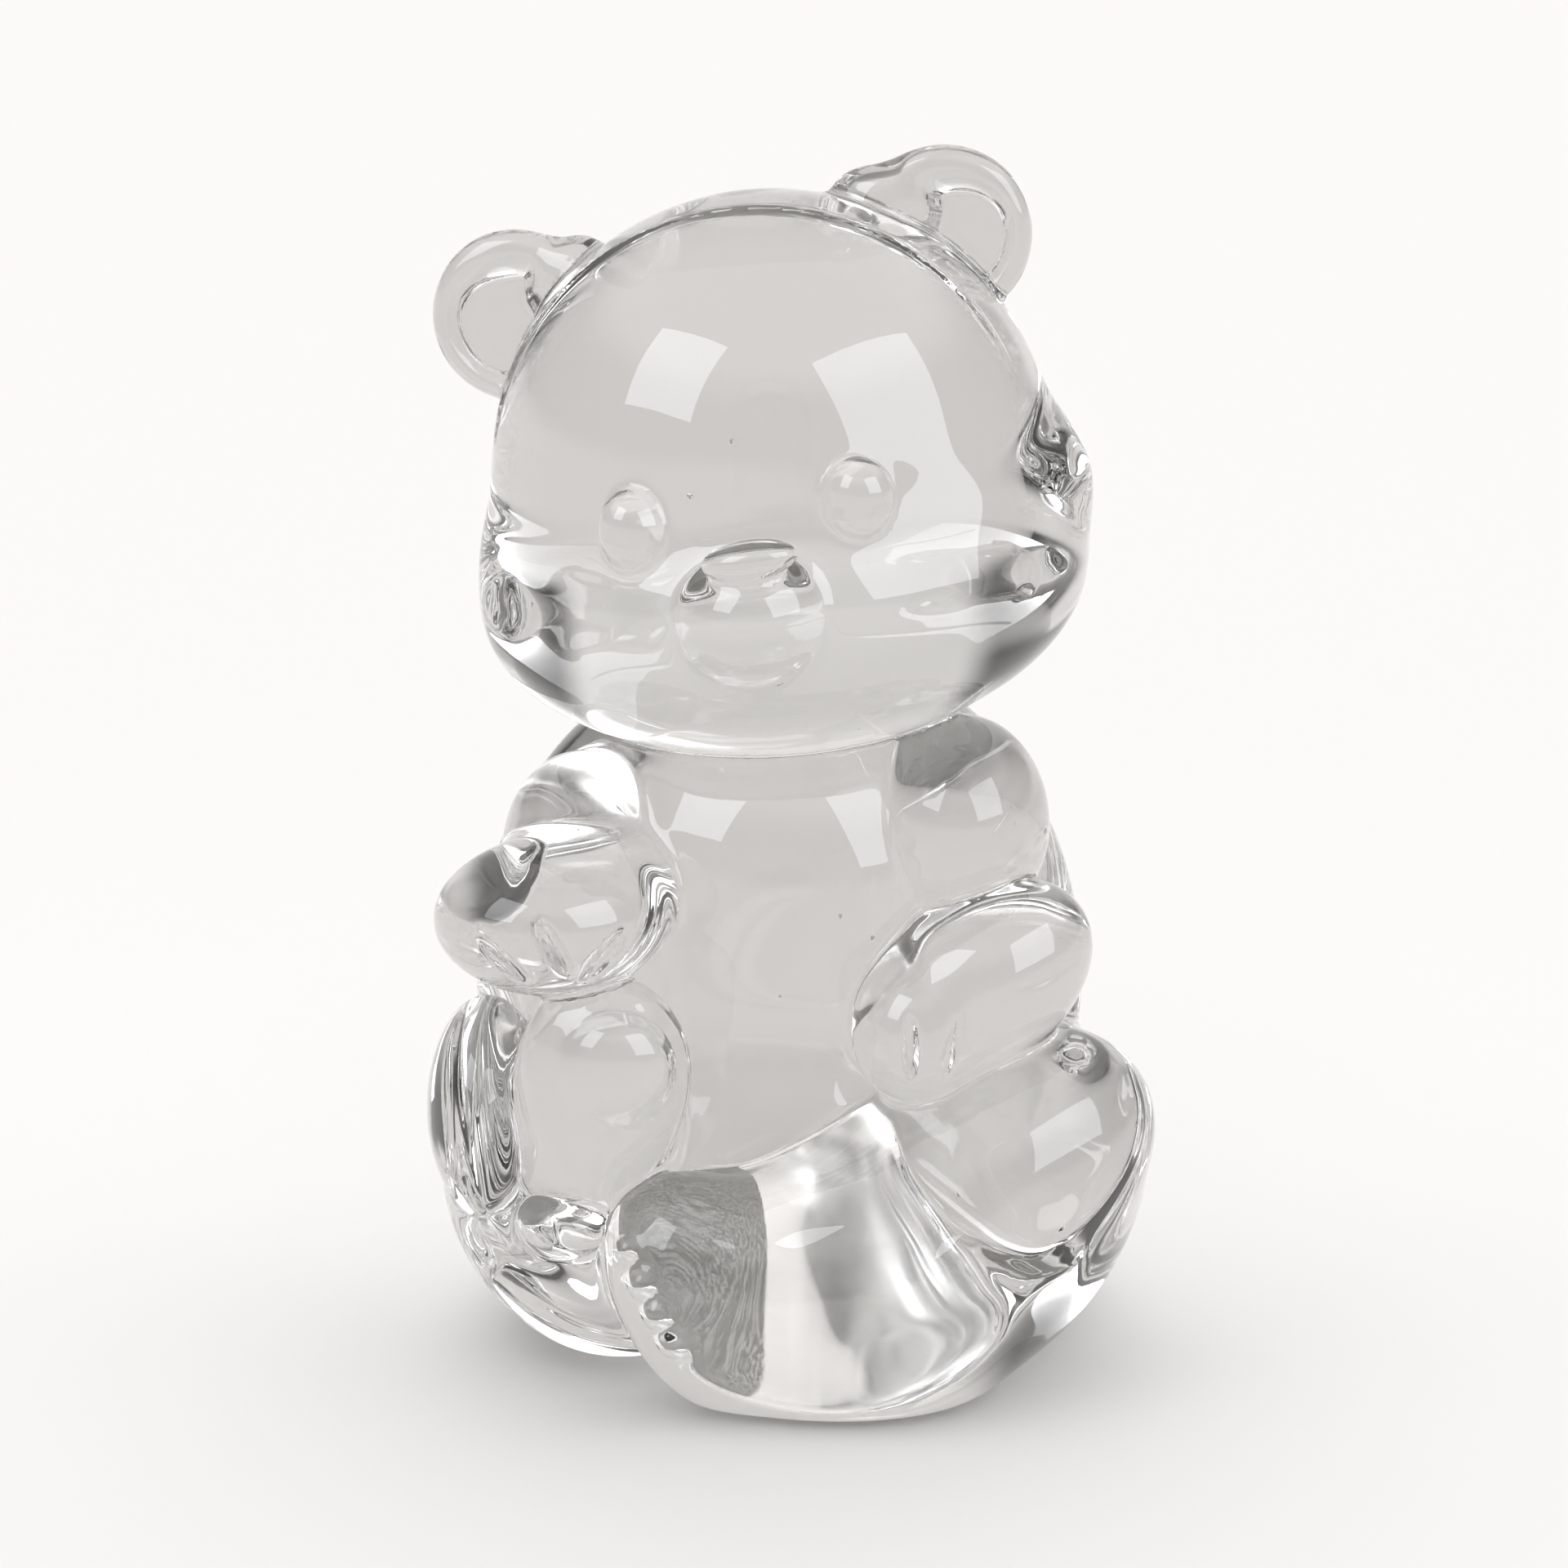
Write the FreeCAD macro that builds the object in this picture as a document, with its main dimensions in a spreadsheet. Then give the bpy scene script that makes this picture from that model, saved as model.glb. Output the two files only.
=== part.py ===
"""Sitting bear figurine in clear pressed glass, 89 mm tall.

The figurine is one mass of glass. It is drawn here as the sculpted masses that its creases divide
it into: a wide-cheeked head, a pear-shaped torso, two arms and two legs. Each mass is an ellipsoid,
or a few of them fused, and it is trimmed by its larger neighbours so that the two meet face to face.

Frame: millimetres, +Z up, the bear faces -Y, its own left side is +X. The origin lies on the flat
ground base, under the middle of the belly.
"""
import FreeCAD, Part
import math
import os
import Sketcher
from FreeCAD import Placement, Rotation, Vector

Y_AXIS = Vector(0, 1, 0)
Z_AXIS = Vector(0, 0, 1)

# Lengths in millimetres, angles in degrees.
DIMENSIONS = {
    # The head's own frame: its centre, how far the crown leans to the bear's right, how far the face turns.
    "head_forward": 1.0,
    "head_up": 61.0,
    "head_lean": 9.5,
    "head_turn": 8.0,
    # Ears: a round rim bead around a thin web.
    "ear_radius": 6.4,
    "ear_rim": 1.35,
    "ear_web": 1.4,
    # Finger creases are cut by a thin upright lens, whose centre stands off the paw's surface.
    "crease_width": 1.0,
    "crease_depth": 5.2,
    "crease_length": 6.4,
    "crease_off": 1.3,
    # Toe beads in the left foot's frame: the first one's place, then each next one's step.
    "toe_size": 2.1,
    "toe_across": -2.5,
    "toe_along": 6.5,
    "toe_drift": 0.1,
    "toe_pitch": 2.3,
}
TOES = "toes_left"
TOE_COUNT = 4

# Ellipsoids: full width, depth and height, then the centre across (to the bear's left), forward and up,
# and last the tilt about the front-to-back axis, crown towards the bear's left.
# These stand in the head's frame.
HEAD_MASSES = {
    "skull": (42.4, 39.0, 41.2, -0.1, 0.0, 4.6, 0.0),
    "temples": (46.4, 36.0, 25.0, 0.3, 0.0, 0.4, 0.0),
    "cheeks": (45.8, 41.0, 25.6, -0.5, 1.5, -4.0, 3.0),
    "snout": (11.4, 13.0, 9.8, 0.0, 18.5, -3.2, 0.0),
    "nose_tip": (6.8, 4.0, 2.8, 1.0, 22.6, 1.4, 0.0),
    "lid_right": (5.0, 4.4, 5.6, -7.6, 18.2, 3.9, 0.0),
    "lid_left": (5.0, 4.4, 5.6, 8.6, 18.2, 3.9, 0.0),
    "root_right": (6.8, 4.4, 4.8, -13.2, -2.0, 20.4, -35.0),
    "root_left": (8.0, 4.4, 5.6, 10.8, -2.0, 22.0, 20.0),
}
# Ear discs in the head's frame: centre across, forward and up.
EARS = {
    "ear_disc_right": (-17.6, -2.0, 18.0),
    "ear_disc_left": (15.0, -2.0, 19.3),
}
# These stand in the figure's frame.
BODY_MASSES = {
    "chest": (34.4, 30.0, 34.0, 1.2, 0.0, 33.2, 0.0),
    "back": (47.6, 30.0, 53.0, -0.4, -3.0, 25.0, 0.0),
    "belly": (40.0, 37.0, 38.0, 0.0, 0.0, 11.6, 0.0),
    "hip_left": (32.0, 36.0, 24.4, 13.0, 5.0, 9.7, -45.0),
    "hip_right": (25.6, 31.0, 19.6, -14.5, 5.0, 9.4, 45.0),
    "calf_left": (24.8, 20.8, 21.2, 5.4, 18.4, 7.3, -14.0),
    "thigh_left": (33.0, 22.0, 17.6, 12.2, 14.2, 13.2, -33.0),
    "step_left": (12.6, 13.0, 18.0, -5.7, 21.0, 8.2, -30.0),
    "knee_cap_right": (8.8, 16.0, 16.4, -22.0, 12.0, 19.3, 0.0),
    "calf_right": (14.0, 18.0, 20.0, -14.0, 12.0, 18.0, 0.0),
    "sole_right": (12.6, 8.0, 14.8, -13.0, 19.0, 24.0, 0.0),
    "heel_cap_right": (6.8, 7.0, 4.8, -15.8, 19.0, 12.7, 0.0),
    "pad_right": (7.0, 4.0, 7.0, -12.0, 22.0, 25.2, 0.0),
    "shoulder_left": (13.6, 17.0, 16.0, 12.9, 6.5, 39.6, 0.0),
    "shoulder_right": (11.8, 16.0, 14.6, -15.0, 6.0, 37.4, 0.0),
    "elbow_left": (13.0, 15.0, 19.4, 13.9, 13.0, 29.0, 52.0),
    "elbow_right": (14.6, 18.0, 11.8, -14.8, 11.0, 35.2, 0.0),
    "hand_left": (9.0, 9.2, 10.0, 9.6, 16.8, 26.3, 0.0),
    "hand_right": (16.6, 15.0, 11.0, -16.9, 17.0, 35.2, 0.0),
}
# Finger creases of each paw: across and up from the paw's centre as parts of its half width and half
# height, and the crease's tilt.
CREASES = {
    "hand_left": ((-0.12, 0.05, 0.0), (0.52, 0.05, 8.0)),
    "hand_right": ((-0.36, -0.25, -45.0), (0.12, -0.15, -27.0), (0.52, -0.25, 39.0)),
}
# Sub-parts by label, and the masses that each is fused from, in the order of their trimming.
SUBPARTS = {
    "head": ("skull", "temples", "cheeks"),
    "torso": ("chest", "back", "belly"),
    "haunch_left": ("hip_left",),
    "haunch_right": ("hip_right",),
    "shin_left": ("calf_left", "thigh_left"),
    "foot_left": ("step_left",),
    "knee_right": ("knee_cap_right",),
    "shin_right": ("calf_right",),
    "foot_right": ("sole_right",),
    "heel_right": ("heel_cap_right",),
    "sole_pad_right": ("pad_right",),
    TOES: (),
    "upper_arm_left": ("shoulder_left",),
    "upper_arm_right": ("shoulder_right",),
    "forearm_left": ("elbow_left",),
    "forearm_right": ("elbow_right",),
    "paw_left": ("hand_left",),
    "paw_right": ("hand_right",),
    "muzzle": ("snout",),
    "nose": ("nose_tip",),
    "eye_right": ("lid_right",),
    "eye_left": ("lid_left",),
    "ear_right": ("ear_disc_right", "root_right"),
    "ear_left": ("ear_disc_left", "root_left"),
}
SIZES = ("width", "depth", "height")
CENTRE = ("across", "forward", "up")
PLACE = CENTRE + ("tilt",)
GROUND_CLEARANCE = 60.0  # the cutter under the base is this deep, far more than the figure needs
SLIVER = 1e-3  # masses that share less than this volume, in cubic millimetres, only touch


def make_sheet(doc):
    """The spreadsheet of driving dimensions, one aliased cell each."""
    cells = dict(DIMENSIONS)
    for table, fields in ((HEAD_MASSES, SIZES + PLACE), (BODY_MASSES, SIZES + PLACE), (EARS, CENTRE)):
        for name, values in table.items():
            cells.update({f"{name}_{field}": value for field, value in zip(fields, values)})
    sheet = doc.addObject("Spreadsheet::Sheet", "sizes")
    for row, (alias, value) in enumerate(cells.items(), start=1):
        sheet.set(f"A{row}", alias)
        sheet.set(f"B{row}", str(value))
        sheet.setAlias(f"B{row}", alias)
    doc.recompute()
    return sheet


def read(sheet, name, fields):
    """The values of a mass's fields on the sheet."""
    return [getattr(sheet, f"{name}_{field}") for field in fields]


def standing(across, forward, up, tilt=0.0):
    """A Placement at a point, tilted about the front-to-back axis."""
    return Placement(Vector(across, -forward, up), Rotation(Y_AXIS, tilt))


def head_frame(sheet):
    """The head's own frame: the head leans sideways first, and then turns about the vertical."""
    lean = Rotation(Y_AXIS, -sheet.head_lean)
    turn = Rotation(Z_AXIS, -sheet.head_turn)
    return Placement(Vector(0, -sheet.head_forward, sheet.head_up), turn.multiply(lean))


def ellipsoid(doc, name, sizes, place):
    """An ellipsoid whose full width, depth and height are expressions on the sheet."""
    mass = doc.addObject("Part::Ellipsoid", name)
    for radius, size in zip(("Radius2", "Radius3", "Radius1"), sizes):
        mass.setExpression(radius, f"({size}) / 2")
    mass.Placement = place
    return mass


def make_ellipsoids(doc, sheet, names, frame):
    """The named ellipsoids, each with its sizes bound to its cells, placed in the given frame."""
    made = {}
    for name in names:
        sizes = [f"sizes.{name}_{field}" for field in SIZES]
        made[name] = ellipsoid(doc, name, sizes, frame * standing(*read(sheet, name, PLACE)))
    return made


def make_toes(doc, sheet):
    """Toe beads along the left foot's inner edge, in a straight row, each half sunk in its surface."""
    foot = standing(*read(sheet, "step_left", PLACE))
    half_width, half_depth, half_length = (size / 2 for size in read(sheet, "step_left", SIZES))
    seam_inwards = Placement(Vector(), Rotation(Z_AXIS, 180))
    beads = []
    for count in range(TOE_COUNT):
        across = sheet.toe_across - count * sheet.toe_drift
        along = sheet.toe_along - count * sheet.toe_pitch
        forward = half_depth * math.sqrt(1 - (across / half_width) ** 2 - (along / half_length) ** 2)
        place = foot * standing(across, forward, along) * seam_inwards
        beads.append(ellipsoid(doc, f"toe_{count + 1}", ["sizes.toe_size"] * 3, place))
    return fuse(doc, "toes", beads)


def ear_profile(body, name):
    """Half of an ear's section, on the body's XY plane: the web from the axis out, then the rim bead."""
    rim = DIMENSIONS["ear_rim"]
    half_web = DIMENSIONS["ear_web"] / 2
    bead_centre = DIMENSIONS["ear_radius"] - rim
    opening = math.asin(half_web / rim)
    meet = bead_centre - rim * math.cos(opening)

    sketch = body.newObject("Sketcher::SketchObject", f"{name}_profile")
    xy_plane = next(f for f in body.Origin.OriginFeatures if f.Role == "XY_Plane")
    sketch.AttachmentSupport = [(xy_plane, "")]
    sketch.MapMode = "FlatFace"
    bead_circle = Part.Circle(Vector(bead_centre, 0, 0), Z_AXIS, rim)
    bead = sketch.addGeometry(Part.ArcOfCircle(bead_circle, opening - math.pi, math.pi - opening))
    front = sketch.addGeometry(Part.LineSegment(Vector(meet, half_web, 0), Vector(0, half_web, 0)))
    hub = sketch.addGeometry(Part.LineSegment(Vector(0, half_web, 0), Vector(0, -half_web, 0)))
    back = sketch.addGeometry(Part.LineSegment(Vector(0, -half_web, 0), Vector(meet, -half_web, 0)))

    start, end, centre = 1, 2, 3
    origin_line, height_line = -1, -2
    for first, second in (((bead, end), (front, start)), ((front, end), (hub, start)),
                          ((hub, end), (back, start)), ((back, end), (bead, start))):
        sketch.addConstraint(Sketcher.Constraint("Coincident", *first, *second))
    sketch.addConstraint(Sketcher.Constraint("Horizontal", front))
    sketch.addConstraint(Sketcher.Constraint("Horizontal", back))
    sketch.addConstraint(Sketcher.Constraint("PointOnObject", hub, start, height_line))
    sketch.addConstraint(Sketcher.Constraint("PointOnObject", hub, end, height_line))
    sketch.addConstraint(Sketcher.Constraint("PointOnObject", bead, centre, origin_line))
    bead_place = Sketcher.Constraint("DistanceX", origin_line, start, bead, centre, bead_centre)
    web_size = Sketcher.Constraint("DistanceY", hub, end, hub, start, 2 * half_web)
    sized = (
        ("rim", Sketcher.Constraint("Radius", bead, rim), "sizes.ear_rim"),
        ("bead_centre", bead_place, "sizes.ear_radius - sizes.ear_rim"),
        ("web", web_size, "sizes.ear_web"),
    )
    for title, constraint, expression in sized:
        sketch.renameConstraint(sketch.addConstraint(constraint), title)
        sketch.setExpression(f"Constraints.{title}", expression)
    return sketch


def make_ear_disc(doc, name, place):
    """A thin disc with a bead round its rim, revolved about the ear's front-to-back axis."""
    body = doc.addObject("PartDesign::Body", name)
    sketch = ear_profile(body, name)
    doc.recompute()
    turned = body.newObject("PartDesign::Revolution", f"{name}_turned")
    turned.Profile = sketch
    turned.ReferenceAxis = (sketch, ["V_Axis"])
    turned.Angle = 360.0
    body.Placement = place
    return body


def crease(doc, sheet, hand, name):
    """The hand less its finger creases, thin lenses sunk into the front of the paw."""
    centre = standing(*read(sheet, name, CENTRE))
    half_width, half_depth, half_height = (size / 2 for size in read(sheet, name, SIZES))
    sizes = ("sizes.crease_width", "sizes.crease_depth", "sizes.crease_length")
    mass = hand
    for count, (across, up, tilt) in enumerate(CREASES[name], start=1):
        forward = half_depth * math.sqrt(1 - across ** 2 - up ** 2) + sheet.crease_off
        place = centre * standing(across * half_width, forward, up * half_height, tilt)
        lens = ellipsoid(doc, f"{name}_lens_{count}", sizes, place)
        mass = cut(doc, f"{name}_fingers_{count}", mass, lens)
    return mass


def cut(doc, name, base, tool):
    """One mass less another."""
    rest = doc.addObject("Part::Cut", name)
    rest.Base = base
    rest.Tool = tool
    return rest


def fuse(doc, name, masses):
    """Several masses as one. A single mass stays as it is."""
    if len(masses) == 1:
        return masses[0]
    fused = doc.addObject("Part::MultiFuse", name)
    fused.Shapes = masses
    return fused


def make_ground_cutter(doc):
    """The space under the flat base."""
    block = doc.addObject("Part::Box", "ground_cutter")
    block.Length = block.Width = 2 * GROUND_CLEARANCE
    block.Height = GROUND_CLEARANCE
    block.Placement = standing(-GROUND_CLEARANCE, GROUND_CLEARANCE, -GROUND_CLEARANCE)
    return block


def make_masses(doc, sheet):
    """Each sub-part's whole mass by label, before trimming."""
    frame = head_frame(sheet)
    pieces = make_ellipsoids(doc, sheet, HEAD_MASSES, frame)
    pieces.update(make_ellipsoids(doc, sheet, BODY_MASSES, Placement()))
    for name in EARS:
        pieces[name] = make_ear_disc(doc, name, frame * standing(*read(sheet, name, CENTRE)))
    for hand in CREASES:
        pieces[hand] = crease(doc, sheet, pieces[hand], hand)
    masses = {}
    for label, names in SUBPARTS.items():
        if label == TOES:
            masses[label] = make_toes(doc, sheet)
        else:
            masses[label] = fuse(doc, f"{label}_mass", [pieces[name] for name in names])
    doc.recompute()
    return masses


def overlaps(mass, other):
    """Whether two masses share volume."""
    if not other.Shape.BoundBox.intersect(mass.Shape.BoundBox):
        return False
    return mass.Shape.common(other.Shape).Volume > SLIVER


def trim(doc, masses, ground):
    """Every sub-part by label: its mass less the ground and each mass listed before it that it overlaps."""
    parts = {}
    placed = [ground]
    for label, mass in masses.items():
        part = mass
        for other in placed:
            if overlaps(part, other):
                part = cut(doc, f"{label}_less_{other.Name}", part, other)
                doc.recompute([part])
        part.Label = label
        parts[label] = part
        placed.append(mass)
    return parts


def check(doc, parts):
    """Stops on a failed feature, or on a sub-part whose shape is null, invalid or has too few solids."""
    for feature in doc.Objects:
        if {"Invalid", "Error"} & set(feature.State):
            raise RuntimeError(f"{feature.Name} failed: {feature.State}")
    for label, part in parts.items():
        shape = part.Shape
        wanted = TOE_COUNT if label == TOES else 1
        if shape.isNull() or not shape.isValid() or len(shape.Solids) != wanted:
            raise RuntimeError(f"{label} has {len(shape.Solids)} solids, valid {shape.isValid()}")
        print(f"{label:16s} {shape.Volume:9.1f} mm3")


def main():
    """Builds the document and writes one STEP file per sub-part."""
    doc = FreeCAD.newDocument("sitting_bear")
    sheet = make_sheet(doc)
    parts = trim(doc, make_masses(doc, sheet), make_ground_cutter(doc))
    check(doc, parts)
    os.makedirs("parts", exist_ok=True)
    for label, part in parts.items():
        part.Shape.exportStep(os.path.join("parts", f"{label}.step"))


main()
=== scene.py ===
import logging
import math
from dataclasses import dataclass
from enum import Enum
from typing import Callable, Iterable, Sequence

import bpy
import numpy as np
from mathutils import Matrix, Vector


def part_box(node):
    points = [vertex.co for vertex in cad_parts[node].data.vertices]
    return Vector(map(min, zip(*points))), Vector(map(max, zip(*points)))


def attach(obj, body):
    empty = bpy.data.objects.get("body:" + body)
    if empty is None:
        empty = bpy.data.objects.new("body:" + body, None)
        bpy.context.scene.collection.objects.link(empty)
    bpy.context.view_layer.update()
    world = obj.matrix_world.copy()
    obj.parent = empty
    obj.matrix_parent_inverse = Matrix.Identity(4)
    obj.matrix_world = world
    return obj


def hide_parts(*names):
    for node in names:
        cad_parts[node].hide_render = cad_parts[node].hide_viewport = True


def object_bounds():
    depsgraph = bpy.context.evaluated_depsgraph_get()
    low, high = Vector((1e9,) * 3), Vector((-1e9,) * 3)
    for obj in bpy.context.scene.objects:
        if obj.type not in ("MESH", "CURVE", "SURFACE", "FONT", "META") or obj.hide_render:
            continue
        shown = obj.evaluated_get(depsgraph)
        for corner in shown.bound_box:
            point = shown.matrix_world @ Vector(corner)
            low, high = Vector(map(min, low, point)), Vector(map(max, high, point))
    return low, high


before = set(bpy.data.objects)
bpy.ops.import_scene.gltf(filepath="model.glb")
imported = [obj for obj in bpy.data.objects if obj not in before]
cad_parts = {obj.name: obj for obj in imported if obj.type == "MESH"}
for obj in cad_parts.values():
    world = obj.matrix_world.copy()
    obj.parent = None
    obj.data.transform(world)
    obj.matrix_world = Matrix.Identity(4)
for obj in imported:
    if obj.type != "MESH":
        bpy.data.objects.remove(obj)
CAD_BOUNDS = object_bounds()

# A sitting bear cub in solid clear glass.
#
# The whole figure is one distance field: every sculpted mass gives its distance, a soft union runs them
# together with the small fillets that fire polishing leaves, and a net of quads is cast on the level
# where the distance is nought. Each grid point also says which mass it belongs to, so the same net gives
# every piece as a closed shell of its own, and two neighbours share the wall between them exactly.
#
# Lengths are millimetres in the shapes, and metres in the meshes, the finishes and the studio. +Z is up,
# the bear faces -Y, and its own left is +X.

Array = np.ndarray
Span = tuple[float, float]
Triple = tuple[float, float, float]
Oval = tuple[Triple, Triple]  # full width, depth and height, then the place: across, forward and up
LeaningOval = tuple[Triple, Triple, float]  # the same, and the tilt about the front-to-back axis
Tree = bpy.types.NodeTree
Node = bpy.types.Node
Socket = bpy.types.NodeSocket
MM = 0.001
LOG = logging.getLogger("glass_bear")


class Slot(Enum):
    """The record's material slots."""

    CLEAR = "clear_glass"
    BASE = "base_glass"


class Wall(Enum):
    """What a face of a piece looks out on, as its material index."""

    AIR = 0
    GROUND = 1
    GLASS = 2


# ----------------------------------------
# Shapes as distances


def turn(axis: str, degrees: float) -> Array:
    """The matrix of a right-handed turn about one of the axes.

    Args:
        axis: "x", "y" or "z".
        degrees: how far it turns.
    Returns:
        A 3 by 3 matrix that takes local directions to the figure's.
    """
    first, second = {"x": (1, 2), "y": (2, 0), "z": (0, 1)}[axis]
    matrix = np.eye(3)
    cosine, sine = math.cos(math.radians(degrees)), math.sin(math.radians(degrees))
    matrix[first, first] = matrix[second, second] = cosine
    matrix[first, second], matrix[second, first] = -sine, sine
    return matrix


@dataclass(frozen=True, eq=False)
class Stand:
    """A local frame: where its origin is in the figure, and how its axes are turned."""

    origin: Array
    axes: Array

    def within(self, across: float, forward: float, up: float, tilt: float = 0.0) -> "Stand":
        """A frame inside this one, at a point and tilted about the front-to-back axis."""
        place = self.origin + self.axes @ np.array((across, -forward, up))
        return Stand(place, self.axes @ turn("y", tilt))

    def local(self, points: Array) -> Array:
        """Figure points in this frame's own coordinates."""
        kind = points.dtype
        return (points - self.origin.astype(kind)) @ self.axes.astype(kind)


FIGURE = Stand(np.zeros(3), np.eye(3))


def soft_union(distances: Sequence[Array], blend: float) -> Array:
    """Several distances run together: -blend times the log of the sum of exp(-distance / blend).

    Args:
        distances: arrays of one shape.
        blend: how far the fillet reaches, in millimetres.
    Returns:
        One array, a little under the smallest distance where two are alike.
    """
    if len(distances) == 1:
        return distances[0]
    joined = -distances[0] / blend
    for distance in distances[1:]:
        joined = np.logaddexp(joined, -distance / blend)
    return -blend * joined


def soft_cut(distance: Array, tool: Array, blend: float) -> Array:
    """A distance less a tool's, with its rim rounded: the soft maximum of one and minus the other."""
    return blend * np.logaddexp(distance / blend, -tool / blend)


@dataclass(frozen=True, eq=False)
class Ellipsoid:
    """An ellipsoid of full width, depth and height, standing in its frame."""

    size: Triple
    stand: Stand
    power: float = 2.0

    def distance(self, points: Array) -> Array:
        """Distance to the surface: (a - 1) over a's slope, where a is how many radii out a point is.

        With u = p / r, a plain ellipsoid has a = |u|, whose slope is |u / r| / a. A flatter-faced one
        has a = (sum of |u| ^ n) ^ (1 / n), whose slope is |(|u| / a) ^ (n - 1) / r|.

        Args:
            points: figure points, N by 3.
        Returns:
            One distance for each point, below nought inside.
        """
        radii = (np.array(self.size) / 2).astype(points.dtype)
        scaled = self.stand.local(points) / radii
        if self.power != 2.0:
            scaled = np.abs(scaled) + points.dtype.type(1e-6)
            length = (scaled**self.power).sum(1) ** (1 / self.power)
            lean = (scaled / length[:, None]) ** (self.power - 1) / radii
            return (length - 1) / np.sqrt(np.einsum("ij,ij->i", lean, lean))
        length = np.sqrt(np.einsum("ij,ij->i", scaled, scaled))
        scaled /= radii
        slope = np.sqrt(np.einsum("ij,ij->i", scaled, scaled))
        return length * (length - 1) / np.maximum(slope, 1e-6)

    def box(self) -> tuple[Array, Array]:
        """Lowest and highest corner in the figure: each half side is |axes times radii|."""
        reach = np.sqrt(((self.stand.axes * (np.array(self.size) / 2)) ** 2).sum(1))
        return self.stand.origin - reach, self.stand.origin + reach


@dataclass(frozen=True, eq=False)
class RimmedDisc:
    """An ear: a thin clear web with a bead round it, thicker over the top than at the sides."""

    radius: float
    bead: float
    rim: float
    web: float
    crest: float
    stand: Stand
    blend: float = 0.15

    def distance(self, points: Array) -> Array:
        """The bead's section is an oval whose width grows towards the top; the web is a flat slab.

        With s the sine of the angle above the disc's middle, the bead reaches in from the outline by
        rim + crest * s squared, and the slab ends inside it.

        Args:
            points: figure points, N by 3.
        Returns:
            One distance for each point, below nought inside.
        """
        local = self.stand.local(points)
        outwards = np.hypot(local[:, 0], local[:, 2])
        height = np.clip(local[:, 2] / np.maximum(outwards, 1e-3), -1, 1)
        half = self.rim / 2 + self.crest / 2 * np.clip(height, 0, 1) ** 2
        ring = np.hypot((outwards - self.radius + half) / half, local[:, 1] / self.bead)
        rim = (ring - 1) * np.minimum(self.bead, half)
        slab = np.maximum(np.abs(local[:, 1]) - self.web / 2, outwards - self.radius + half)
        return soft_union((rim, slab), self.blend)

    def box(self) -> tuple[Array, Array]:
        """Finds the disc's box from its outline and its bead.

        Returns:
            Its lowest and highest corner in the figure.
        """
        half = np.array((self.radius, self.bead, self.radius))
        reach = np.abs(self.stand.axes * half).sum(1)
        return self.stand.origin - reach, self.stand.origin + reach


@dataclass(frozen=True, eq=False)
class Mass:
    """A piece of the figure: the shapes it is made of, and how softly they run together."""

    node: str
    shapes: tuple
    blend: float = 0.6
    pull: float = 0.0
    slot: Slot = Slot.CLEAR
    creases: tuple = ()
    crease_round: float = 0.15
    relief: Callable[[Array], Array] | None = None

    def distance(self, points: Array) -> Array:
        """The shapes' soft union, pulled in by what the union swells, less its creases and plus its relief.

        Args:
            points: figure points, N by 3.
        Returns:
            One distance for each point, below nought inside.
        """
        found = soft_union([shape.distance(points) for shape in self.shapes], self.blend) + self.pull
        for crease in self.creases:
            found = soft_cut(found, crease.distance(points), self.crease_round)
        return found if self.relief is None else found - self.relief(points)

    def box(self) -> tuple[Array, Array]:
        """Lowest and highest corner of all its shapes."""
        corners = [shape.box() for shape in self.shapes]
        return np.min([low for low, _ in corners], 0), np.max([high for _, high in corners], 0)


# ----------------------------------------
# The bear's sub-assemblies


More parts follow.
